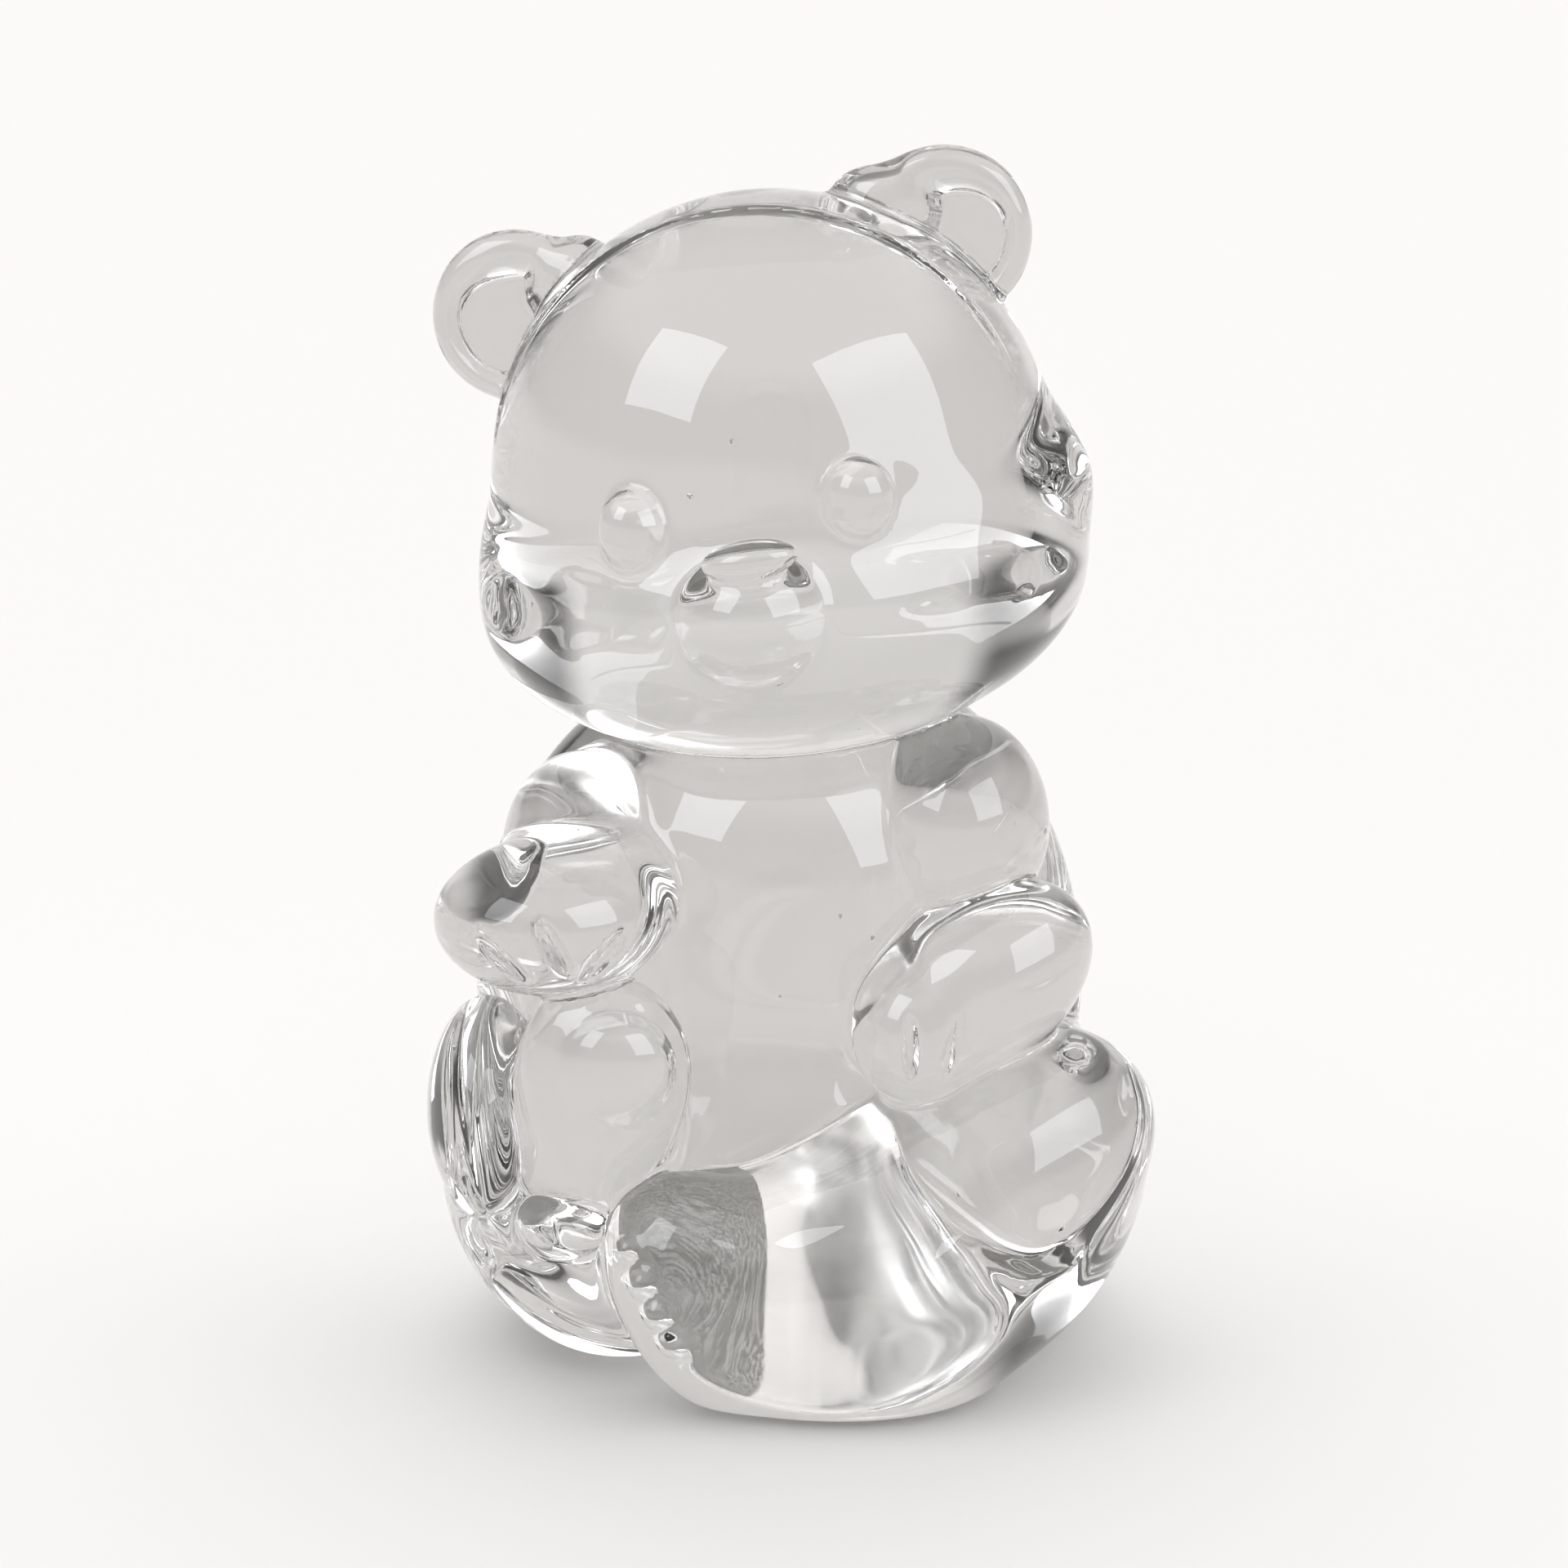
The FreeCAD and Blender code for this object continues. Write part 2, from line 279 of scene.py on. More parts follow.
@dataclass
class Head:
    """The head: a domed skull over wide cheeks, with muzzle, nose, eyes and two rimmed ears."""

    stand: Stand = Stand(np.array((0.0, -1.0, 61.0)), turn("z", -8.0) @ turn("y", -9.5))
    skull: Oval = ((42.4, 39.0, 41.2), (-0.1, 0.0, 4.6))
    temples: Oval = ((46.4, 36.0, 25.0), (0.3, 0.0, 0.4))
    cheeks: Oval = ((45.8, 41.0, 25.6), (-0.5, 1.5, -4.0))
    cheek_tilt: float = 3.0
    dome_blend: float = 0.9
    dome_pull: float = 0.45
    muzzle: Oval = ((11.6, 12.0, 9.8), (0.0, 18.5, -3.2))
    nose: Oval = ((6.8, 4.0, 2.8), (1.0, 22.6, 1.4))
    eye: Triple = (5.0, 4.4, 5.6)
    eye_places: tuple[Triple, ...] = ((-7.6, 18.2, 3.9), (8.6, 18.2, 3.9))
    ear_places: tuple[Triple, ...] = ((-17.6, -2.0, 18.0), (15.0, -2.0, 19.3))
    ear_radius: float = 6.4
    ear_bead: float = 1.35
    ear_rim: float = 1.9
    ear_web: float = 0.9
    ear_crest: float = 1.5
    ear_blend: float = 0.5
    roots: tuple[LeaningOval, ...] = (
        ((6.8, 4.4, 4.8), (-13.2, -2.0, 20.4), -35.0),
        ((8.0, 4.4, 5.6), (10.8, -2.0, 22.0), 20.0),
    )
    seam_forward: float = 5.5
    seam_height: float = 0.32
    seam_width: float = 0.5
    seam_foot: float = 9.0
    seam_fade: float = 5.0

    def shape(self, size: Triple, place: Triple, tilt: float = 0.0) -> Ellipsoid:
        """An ellipsoid in the head's own frame."""
        return Ellipsoid(size, self.stand.within(*place, tilt))

    def seam(self, points: Array) -> Array:
        """The mould's seam over the crown: a bell-shaped ridge across the head, fading down its sides.

        Args:
            points: figure points, N by 3.
        Returns:
            How far the ridge stands out at each point: height * exp(-((y + forward) / width) squared).
        """
        local = self.stand.local(points)
        ridge = np.exp(-(((local[:, 1] + self.seam_forward) / self.seam_width) ** 2))
        return self.seam_height * ridge * np.clip((local[:, 2] - self.seam_foot) / self.seam_fade, 0, 1)

    def masses(self) -> list[Mass]:
        """The head's pieces.

        Returns:
            The dome, muzzle and nose, then each side's eye and ear.
        """
        dome = (
            self.shape(*self.skull), self.shape(*self.temples), self.shape(*self.cheeks, self.cheek_tilt)
        )
        found = [
            Mass("head", dome, blend=self.dome_blend, pull=self.dome_pull, relief=self.seam),
            Mass("muzzle", (self.shape(*self.muzzle),)),
            Mass("nose", (self.shape(*self.nose),)),
        ]
        for side, eye, ear, root in zip(("right", "left"), self.eye_places, self.ear_places, self.roots):
            found.append(Mass(f"eye_{side}", (self.shape(self.eye, eye),)))
            disc = RimmedDisc(
                self.ear_radius, self.ear_bead, self.ear_rim, self.ear_web, self.ear_crest,
                self.stand.within(*ear),
            )
            found.append(Mass(f"ear_{side}", (disc, self.shape(*root)), blend=self.ear_blend))
        return found


@dataclass
class Torso:
    """The pear-shaped body, ground flat underneath."""

    chest: Oval = ((34.4, 30.0, 34.0), (1.2, 0.0, 33.2))
    back: Oval = ((47.6, 30.0, 53.0), (-0.4, -3.0, 25.0))
    belly: Oval = ((40.0, 37.0, 38.0), (0.0, 0.0, 11.6))
    blend: float = 1.5
    pull: float = 0.5

    def masses(self) -> list[Mass]:
        """The torso's chest, back and belly run together.

        Returns:
            The one piece.
        """
        shapes = tuple(
            Ellipsoid(size, FIGURE.within(*place)) for size, place in (self.chest, self.back, self.belly)
        )
        return [Mass("torso", shapes, blend=self.blend, pull=self.pull, slot=Slot.BASE)]


def ellipsoid_mass(
    node: str, size: Triple, place: Triple, tilt: float = 0.0, slot: Slot = Slot.CLEAR,
    creases: tuple = (), power: float = 2.0,
) -> Mass:
    """A piece of one ellipsoid, standing in the figure's frame."""
    return Mass(node, (Ellipsoid(size, FIGURE.within(*place, tilt), power),), slot=slot, creases=creases)


@dataclass
class Arms:
    """Two short arms, their paws scored with finger creases."""

    shoulder_left: Oval = ((13.6, 17.0, 16.0), (12.9, 6.5, 39.6))
    shoulder_right: Oval = ((11.8, 16.0, 14.6), (-15.0, 6.0, 37.4))
    elbow_left: Oval = ((13.0, 15.0, 19.4), (13.9, 13.0, 29.0))
    elbow_tilt: float = 52.0
    elbow_right: Oval = ((14.6, 18.0, 11.8), (-14.8, 11.0, 35.2))
    hand_left: Oval = ((9.0, 9.2, 10.0), (9.6, 16.8, 26.3))
    hand_right: Oval = ((16.6, 15.0, 11.0), (-16.9, 17.0, 35.2))
    crease: Triple = (1.5, 5.6, 6.6)
    crease_off: float = 1.2
    fingers_left: tuple[Triple, ...] = ((-0.12, 0.05, 0.0), (0.52, 0.05, 8.0))
    fingers_right: tuple[Triple, ...] = ((-0.36, -0.25, -45.0), (0.12, -0.15, -27.0), (0.52, -0.25, 39.0))

    def creases(self, hand: Oval, fingers: Iterable[Triple]) -> tuple[Ellipsoid, ...]:
        """Thin lenses standing off the front of a paw, each across, up and tilted as it is given.

        Args:
            hand: the paw's size and place.
            fingers: across and up as shares of the paw's half sides, and the tilt.
        Returns:
            One thin ellipsoid for each crease.
        """
        (width, depth, height), place = hand
        centre = FIGURE.within(*place)
        found = []
        for across, up, tilt in fingers:
            forward = depth / 2 * math.sqrt(1 - across**2 - up**2) + self.crease_off
            stand = centre.within(across * width / 2, forward, up * height / 2, tilt)
            found.append(Ellipsoid(self.crease, stand))
        return tuple(found)

    def masses(self) -> list[Mass]:
        """Both arms' pieces.

        Returns:
            The upper arms, the forearms and the paws, each left then right.
        """
        return [
            ellipsoid_mass("upper_arm_left", *self.shoulder_left),
            ellipsoid_mass("upper_arm_right", *self.shoulder_right),
            ellipsoid_mass("forearm_left", *self.elbow_left, self.elbow_tilt),
            ellipsoid_mass("forearm_right", *self.elbow_right),
            ellipsoid_mass(
                "paw_left", *self.hand_left, creases=self.creases(self.hand_left, self.fingers_left)
            ),
            ellipsoid_mass(
                "paw_right", *self.hand_right, creases=self.creases(self.hand_right, self.fingers_right)
            ),
        ]


@dataclass
class Legs:
    """The left leg lies across the front with its toes showing; the right one is drawn up."""

    hip_left: LeaningOval = ((32.0, 36.0, 24.4), (13.0, 5.0, 9.7), -45.0)
    hip_right: LeaningOval = ((25.6, 31.0, 19.6), (-14.5, 5.0, 9.4), 45.0)
    calf_left: LeaningOval = ((24.8, 20.8, 21.2), (5.4, 18.4, 7.3), -14.0)
    thigh_left: LeaningOval = ((33.0, 22.0, 17.6), (12.2, 14.2, 13.2), -33.0)
    shin_blend: float = 1.6
    step_left: LeaningOval = ((12.6, 13.0, 18.0), (-5.7, 21.0, 8.2), -30.0)
    knee_right: Oval = ((8.8, 16.0, 16.4), (-22.0, 12.0, 19.3))
    calf_right: Oval = ((14.0, 18.0, 20.0), (-14.0, 12.0, 18.0))
    sole_right: Oval = ((12.6, 8.0, 14.8), (-13.0, 19.0, 24.0))
    heel_right: Oval = ((6.8, 7.0, 4.8), (-15.8, 19.0, 12.7))
    pad_right: Oval = ((8.0, 4.8, 8.0), (-12.0, 21.8, 25.2))
    toe: float = 2.1
    toe_row: Triple = (-2.5, 6.5, 2.3)
    toe_drift: float = 0.1
    toe_count: int = 4
    toe_blend: float = 0.15
    flatness: float = 2.15

    def toes(self) -> Mass:
        """Toe beads in a straight row along the left foot, each half sunk in its surface.

        A bead's middle is at forward = half depth * sqrt(1 - (across / half width) squared - (along /
        half length) squared), on the foot's own ellipsoid.

        Returns:
            The row as one piece.
        """
        size, place, tilt = self.step_left
        foot = FIGURE.within(*place, tilt)
        half_width, half_depth, half_length = (side / 2 for side in size)
        first, top, pitch = self.toe_row
        beads = []
        for count in range(self.toe_count):
            across, along = first - count * self.toe_drift, top - count * pitch
            forward = half_depth * math.sqrt(1 - (across / half_width) ** 2 - (along / half_length) ** 2)
            beads.append(Ellipsoid((self.toe,) * 3, foot.within(across, forward, along)))
        return Mass("toes_left", tuple(beads), blend=self.toe_blend)

    def shin(self) -> Mass:
        """The left leg's front: the calf, and the thigh that sweeps up from it to the hip.

        Returns:
            Both as one piece.
        """
        shapes = tuple(
            Ellipsoid(size, FIGURE.within(*place, tilt), self.flatness)
            for size, place, tilt in (self.calf_left, self.thigh_left)
        )
        return Mass("shin_left", shapes, blend=self.shin_blend, slot=Slot.BASE)

    def masses(self) -> list[Mass]:
        """Both legs' pieces.

        Returns:
            The haunches, the left leg's shin and foot, the right leg's masses, and the toes.
        """
        return [
            ellipsoid_mass("haunch_left", *self.hip_left, slot=Slot.BASE),
            ellipsoid_mass("haunch_right", *self.hip_right, slot=Slot.BASE),
            self.shin(),
            ellipsoid_mass("foot_left", *self.step_left, slot=Slot.BASE, power=self.flatness),
            ellipsoid_mass("knee_right", *self.knee_right),
            ellipsoid_mass("shin_right", *self.calf_right),
            ellipsoid_mass("foot_right", *self.sole_right),
            ellipsoid_mass("heel_right", *self.heel_right),
            ellipsoid_mass("sole_pad_right", *self.pad_right),
            self.toes(),
        ]


# ----------------------------------------
# The whole figure as one field


@dataclass
class Limb:
    """Masses that flow into each other more softly than the figure's creases do."""

    masses: list[Mass]
    blend: float = 1.0

    def distances(self, points: Array) -> list[Array]:
        """Each mass's own distance at each point."""
        return [mass.distance(points) for mass in self.masses]

    def box(self) -> tuple[Array, Array]:
        """Lowest and highest corner of all its masses."""
        corners = [mass.box() for mass in self.masses]
        return np.min([low for low, _ in corners], 0), np.max([high for _, high in corners], 0)


@dataclass
class Figure:
    """All limbs, with their masses in the order in which they take the glass that they share."""

    limbs: list[Limb]
    fillet: float = 0.3
    base_round: float = 0.25
    ripple: float = 0.035
    ripple_waves: tuple[tuple[Triple, float], ...] = (
        ((0.52, 0.21, 0.43), 0.3),
        ((-0.31, 0.63, 0.37), 1.9),
        ((0.18, -0.44, 0.69), 4.1),
    )

    def swell(self, points: Array) -> Array:
        """The faint ripple of pressed glass: the mean of three sine waves, times its depth.

        Args:
            points: figure points, N by 3.
        Returns:
            How far the ripple stands in at each point.
        """
        total = np.zeros(len(points), points.dtype)
        for wave, phase in self.ripple_waves:
            total += np.sin(points @ np.array(wave, points.dtype) + points.dtype.type(phase))
        return total * (self.ripple / len(self.ripple_waves))

    def rest(self, raw: Array, points: Array) -> Array:
        """The union's distance with its ripple, cut by the ground with a rounded rim."""
        return soft_cut(raw + self.swell(points), points[:, 2], self.base_round)

    @property
    def masses(self) -> list[Mass]:
        """Every mass, in order."""
        return [mass for limb in self.limbs for mass in limb.masses]

    def distances(self, points: Array) -> Array:
        """Every mass's own distance at each point, N by the number of masses."""
        return np.stack([mass.distance(points) for mass in self.masses], 1)

    def distance(self, points: Array) -> Array:
        """The figure's distance: the soft union of all limbs, rippled, with a flat ground base."""
        joined = [soft_union(limb.distances(points), limb.blend) for limb in self.limbs]
        return self.rest(soft_union(joined, self.fillet), points)

    def slope(self, points: Array, step: float = 0.02) -> Array:
        """The distance's gradient: the corners of a small tetrahedron, each times the distance there.

        Args:
            points: figure points, N by 3.
            step: half the side of the cube that holds the tetrahedron.
        Returns:
            One gradient for each point.
        """
        corners = np.array(((1, -1, -1), (-1, -1, 1), (-1, 1, -1), (1, 1, 1)), float)
        total = np.zeros_like(points)
        for corner in corners:
            total += corner * self.distance(points + step * corner)[:, None]
        return total / (4 * step)

    def settle(self, points: Array, rounds: int = 3, reach: float = 0.35, least: float = 0.05) -> Array:
        """Moves points onto the surface, each step by -distance * gradient / (gradient squared).

        Args:
            points: figure points, N by 3.
            rounds: how many steps are taken.
            reach: the longest step.
            least: the least that the gradient's square counts as.
        Returns:
            The moved points.
        """
        for _ in range(rounds):
            slope = self.slope(points)
            square = np.maximum((slope**2).sum(1), least)
            step = -slope * (self.distance(points) / square)[:, None]
            length = np.linalg.norm(step, axis=1, keepdims=True)
            points = points + step * np.minimum(1, reach / np.maximum(length, 1e-9))
        return points


@dataclass
class Net:
    """A net of quads over the figure: each quad's four knots, and the labels on its two sides."""

    knots: Array
    normals: Array
    quads: Array
    behind: Array
    ahead: Array


@dataclass
class Mould:
    """Casts the figure's field into a net on a grid of cells."""

    figure: Figure
    low: Array
    high: Array
    cell: float = 0.35
    margin: float = 1.8
    reach: float = 5.0
    edge_share: Span = (0.02, 0.98)
    border_share: Span = (0.05, 0.95)
    least_sum: float = 1e-30
    largest_power: float = 60.0

    def axes(self) -> list[Array]:
        """The grid's lines along x, y and z."""
        low, high = self.low - self.margin, self.high + self.margin
        return [np.arange(a, b + self.cell, self.cell) for a, b in zip(low, high)]

    def fill(self) -> tuple[Array, Array, list[Array]]:
        """Fills the grid.

        Each limb is worked out only in the block round it. A point's owner is the first mass that holds
        it, or the nearest one, and owner 0 is air, where the figure's distance is above nought.

        Returns:
            The figure's distance, each point's owner, and the grid's lines.
        """
        lines = self.axes()
        shape = tuple(len(line) for line in lines)
        total = np.full(shape, self.least_sum, np.float32)
        claim = np.full(shape, np.inf, np.float32)
        owner = np.zeros(shape, np.uint8)
        label = 0
        for limb in self.figure.limbs:
            spans = [
                slice(np.searchsorted(line, low - self.reach), np.searchsorted(line, high + self.reach))
                for line, low, high in zip(lines, *limb.box())
            ]
            block = tuple(spans)
            size = claim[block].shape
            found = limb.distances(self.points([line[span] for line, span in zip(lines, spans)]))
            joined = soft_union(found, limb.blend).reshape(size)
            total[block] += np.exp(np.minimum(-joined / self.figure.fillet, self.largest_power))
            for distance in found:
                label += 1
                distance = distance.reshape(size)
                won = claim[block] > np.maximum(distance, 0)
                claim[block][won] = distance[won]
                owner[block][won] = label
        raw = -self.figure.fillet * np.log(total)
        level = self.figure.rest(raw.ravel(), self.points(lines)).reshape(shape)
        owner[level > 0] = 0
        return level, owner, lines

    @staticmethod
    def points(lines: Sequence[Array]) -> Array:
        """Every crossing of three sets of grid lines, as rows."""
        return np.stack(np.meshgrid(*lines, indexing="ij"), -1).reshape(-1, 3).astype(np.float32)

    def split(self, first: Array, second: Array, mine: Array, other: Array) -> Array:
        """Where two masses part along grid edges, as a share of the edge.

        Between an earlier mass a and a later one b the border is where a's distance equals the larger
        of b's and nought. Its place is found from the two ends in proportion.

        Args:
            first: the edges' first ends.
            second: their other ends.
            mine: the owner of each first end.
            other: the owner of each other end.
        Returns:
            One share for each edge.
        """
        early, late = np.minimum(mine, other) - 1, np.maximum(mine, other) - 1
        rows = np.arange(len(first))
        ends = []
        for points in (first, second):
            found = self.figure.distances(points)
            ends.append(found[rows, early] - np.maximum(found[rows, late], 0))
        gap = ends[0] - ends[1]
        share = ends[0] / np.where(np.abs(gap) < 1e-6, 1e-6, gap)
        return np.clip(share, *self.border_share)

    def cast(self) -> Net:
        """The net: one quad across every grid edge whose ends have different owners.

        A quad's knots are those of the four cells round its edge, in right-handed order about the
        edge. A cell's knot is the mean of the places where its edges cross a border, and a knot in a
        cell that touches air is then settled on the figure's surface.

        Returns:
            The net, with the surface's own normal at each knot that touches air.
        """
        level, owner, lines = self.fill()
        shape = np.array(owner.shape)
        strides = np.array((shape[1] * shape[2], shape[2], 1))
        flat_owner, flat_level = owner.ravel(), level.ravel()
        origin = np.array([line[0] for line in lines])
        corners, crossings, behind, ahead = [], [], [], []
        for axis in range(3):
            u, v = (axis + 1) % 3, (axis + 2) % 3
            lower = [slice(1, -1)] * 3
            upper = [slice(1, -1)] * 3
            upper[axis] = slice(2, None)
            cell = np.argwhere(owner[tuple(lower)] != owner[tuple(upper)]) + 1
            here = cell @ strides
            there = here + strides[axis]
            start, end = flat_level[here].astype(float), flat_level[there].astype(float)
            share = np.clip(start / np.where(start == end, 1, start - end), *self.edge_share)
            inner = (flat_owner[here] > 0) & (flat_owner[there] > 0)
            place = origin + cell * self.cell
            step = np.eye(3)[axis] * self.cell
            share[inner] = self.split(
                place[inner], place[inner] + step, flat_owner[here][inner].astype(int),
                flat_owner[there][inner].astype(int),
            )
            crossings.append(place + share[:, None] * step)
            around = np.array([-strides[u] - strides[v], -strides[v], 0, -strides[u]])
            corners.append(here[:, None] + around)
            behind.append(flat_owner[here])
            ahead.append(flat_owner[there])
        quads, crossing = np.concatenate(corners), np.concatenate(crossings)
        behind, ahead = np.concatenate(behind), np.concatenate(ahead)
        cells, knot = np.unique(quads, return_inverse=True)
        quads = knot.reshape(quads.shape)
        count = np.bincount(quads.ravel(), minlength=len(cells))
        spread = np.repeat(crossing, 4, axis=0)
        knots = np.stack(
            [np.bincount(quads.ravel(), spread[:, axis], len(cells)) / count for axis in range(3)], 1
        )
        open_air = np.zeros(len(cells), bool)
        open_air[quads[(behind == 0) | (ahead == 0)].ravel()] = True
        normals = np.zeros_like(knots)
        knots[open_air] = self.figure.settle(knots[open_air])
        slope = self.figure.slope(knots[open_air])
        normals[open_air] = slope / np.linalg.norm(slope, axis=1, keepdims=True)
        return Net(knots, normals, quads, behind, ahead)


@dataclass(frozen=True)
class Seeds:
    """The few tiny bubbles that the glass keeps: hollow egg shapes whose faces look into the bubble."""

    counts: tuple[tuple[str, int], ...] = (("head", 7), ("torso", 12))
    smallest: float = 0.07
    largest: float = 0.17
    stretch: float = 1.3
    across: int = 3
    depth: float = 1.5
    tries: int = 60
    random_seed: int = 7

    def places(self, figure: Figure, label: int, count: int) -> Array:
        """Random points well inside one mass and clear of those that come before it.

        Args:
            figure: the whole figure.
            label: the mass's number in the figure, from 1.
            count: how many points.
        Returns:
            One row for each point.
        """
        random = np.random.default_rng(self.random_seed + label)
        points = random.uniform(*figure.masses[label - 1].box(), (self.tries * count, 3))
        found = figure.distances(points)
        inside = np.maximum(found[:, label - 1], figure.distance(points)) < -self.depth
        inside &= (found[:, : label - 1] > self.depth).all(1)
        return points[inside][:count]

    def ball(self) -> tuple[Array, Array]:
        """A ball of six square patches, each point (u, v, 1) of a patch drawn in to length 1.

        Returns:
            The points, and the faces as rows of four that look inwards.
        """
        u, v = np.meshgrid(*[np.linspace(-1, 1, self.across + 1)] * 2, indexing="ij")
        patch = np.stack((u, v, np.ones_like(u)), -1).reshape(-1, 3)
        index = np.arange(len(patch)).reshape(u.shape)
        square = np.stack((index[:-1, :-1], index[1:, :-1], index[1:, 1:], index[:-1, 1:]), -1)
        square = square.reshape(-1, 4)
        turns = [turn("x", 90.0 * quarter) for quarter in range(4)] + [turn("y", 90.0), turn("y", -90.0)]
        points = np.concatenate([patch @ matrix.T for matrix in turns])
        faces = np.concatenate([square + side * len(patch) for side in range(len(turns))])
        points, merged = np.unique(np.round(points, 6) + 0.0, axis=0, return_inverse=True)
        return points / np.linalg.norm(points, axis=1, keepdims=True), merged.ravel()[faces][:, ::-1]

    def shells(self, figure: Figure, label: int, count: int) -> tuple[Array, Array, Array]:
        """All of one mass's bubbles: each point is centre + radius * (x, y, stretch * z) of the ball.

        Args:
            figure: the whole figure.
            label: the mass's number in the figure, from 1.
            count: how many bubbles.
        Returns:
            The points, their normals towards the bubbles' middles, and the faces.
        """
        centres = self.places(figure, label, count)
        radius = np.random.default_rng(self.random_seed).uniform(self.smallest, self.largest, len(centres))
        ball, faces = self.ball()
        points = centres[:, None] + radius[:, None, None] * (ball * (1, 1, self.stretch))
        offsets = np.arange(len(centres))[:, None, None] * len(ball)
        return points.reshape(-1, 3), np.tile(-ball, (len(centres), 1)), (faces + offsets).reshape(-1, 4)


# ----------------------------------------
# Finishes


def add_node(tree: Tree, kind: str, **values: object) -> Node:
    """A node with its properties set, and its sockets too where a name matches an input.

    Args:
        tree: the material's or the world's nodes.
        kind: the node's type.
        values: property names, or input names with spaces as underscores.
    Returns:
        The new node.
    """
    node = tree.nodes.new(kind)
    for name, value in values.items():
        title = name.replace("_", " ")
        if title in node.inputs:
            node.inputs[title].default_value = value
        else:
            setattr(node, name, value)
    return node


def fade(tree: Tree, source: Socket, start: float, end: float, low: float, high: float) -> Socket:
    """A smooth step from low to high as the source goes from start to end.

    Args:
        tree: the material's or the world's nodes.
        source: the value that drives the step.
        start: the source's value where the step begins.
        end: the source's value where it is over.
        low: the result before the step.
        high: the result after it.
    Returns:
        The result's socket.
    """
    step = add_node(tree, "ShaderNodeMapRange", interpolation_type="SMOOTHSTEP")
    for name, value in (("From Min", start), ("From Max", end), ("To Min", low), ("To Max", high)):
        step.inputs[name].default_value = value
    tree.links.new(source, step.inputs["Value"])
    return step.outputs["Result"]


def combine(tree: Tree, operation: str, first: Socket, second: Socket) -> Socket:
    """Two values put together by a Math node.

    Args:
        tree: the material's or the world's nodes.
        operation: the Math node's operation.
        first: its first value.
        second: its second value.
    Returns:
        The result's socket.
    """
    node = add_node(tree, "ShaderNodeMath", operation=operation)
    tree.links.new(first, node.inputs[0])
    tree.links.new(second, node.inputs[1])
    return node.outputs["Value"]


@dataclass(frozen=True)
class Glass:
    """Polished clear glass with the faint waviness of a fire-polished skin."""

    name: str
    tint: Triple
    roughness: float
    smear: float
    ior: float = 1.52
    wave_scale: float = 140.0
    wave_detail: float = 1.0
    wave_depth: float = 0.00004
    pore_scale: float = 900.0
    pore_detail: float = 2.0
    pore_depth: float = 0.000001
    smear_band: Span = (0.45, 0.75)

    def build(self) -> bpy.types.Material:
        """Builds the finish, whose skin is in object coordinates.

        Returns:
            The material.
        """
        material = bpy.data.materials.new(self.name)
        material.use_nodes = True
        tree = material.node_tree
        tree.nodes.clear()
        shader = add_node(
            tree, "ShaderNodeBsdfPrincipled", Base_Color=(*self.tint, 1), Transmission_Weight=1.0,
            IOR=self.ior,
        )
        output = add_node(tree, "ShaderNodeOutputMaterial")
        place = add_node(tree, "ShaderNodeTexCoord")
        wave = add_node(tree, "ShaderNodeTexNoise", Scale=self.wave_scale, Detail=self.wave_detail)
        pore = add_node(tree, "ShaderNodeTexNoise", Scale=self.pore_scale, Detail=self.pore_detail)
        broad = add_node(tree, "ShaderNodeBump", Distance=self.wave_depth, Strength=1.0)
        fine = add_node(tree, "ShaderNodeBump", Distance=self.pore_depth, Strength=1.0)
        for source, target in (
            (place.outputs["Object"], wave.inputs["Vector"]),
            (place.outputs["Object"], pore.inputs["Vector"]),
            (wave.outputs["Fac"], broad.inputs["Height"]),
            (pore.outputs["Fac"], fine.inputs["Height"]),
            (broad.outputs["Normal"], fine.inputs["Normal"]),
            (fine.outputs["Normal"], shader.inputs["Normal"]),
            (self.dullness(tree, place, wave), shader.inputs["Roughness"]),
            (shader.outputs["BSDF"], output.inputs["Surface"]),
        ):
            tree.links.new(source, target)
        self.grind_and_shade(tree, place, fine, shader)
        return material

    def dullness(self, tree: Tree, place: Node, wave: Node) -> Socket:
        """The roughness: nearly none, with a faint smear on the skin's higher waves."""
        return fade(tree, wave.outputs["Fac"], *self.smear_band, self.roughness, self.smear)

    def grind_and_shade(self, tree: Tree, place: Node, fine: Node, shader: Node) -> None:
        """Leaves a polished skin as it is, with no painted shade."""


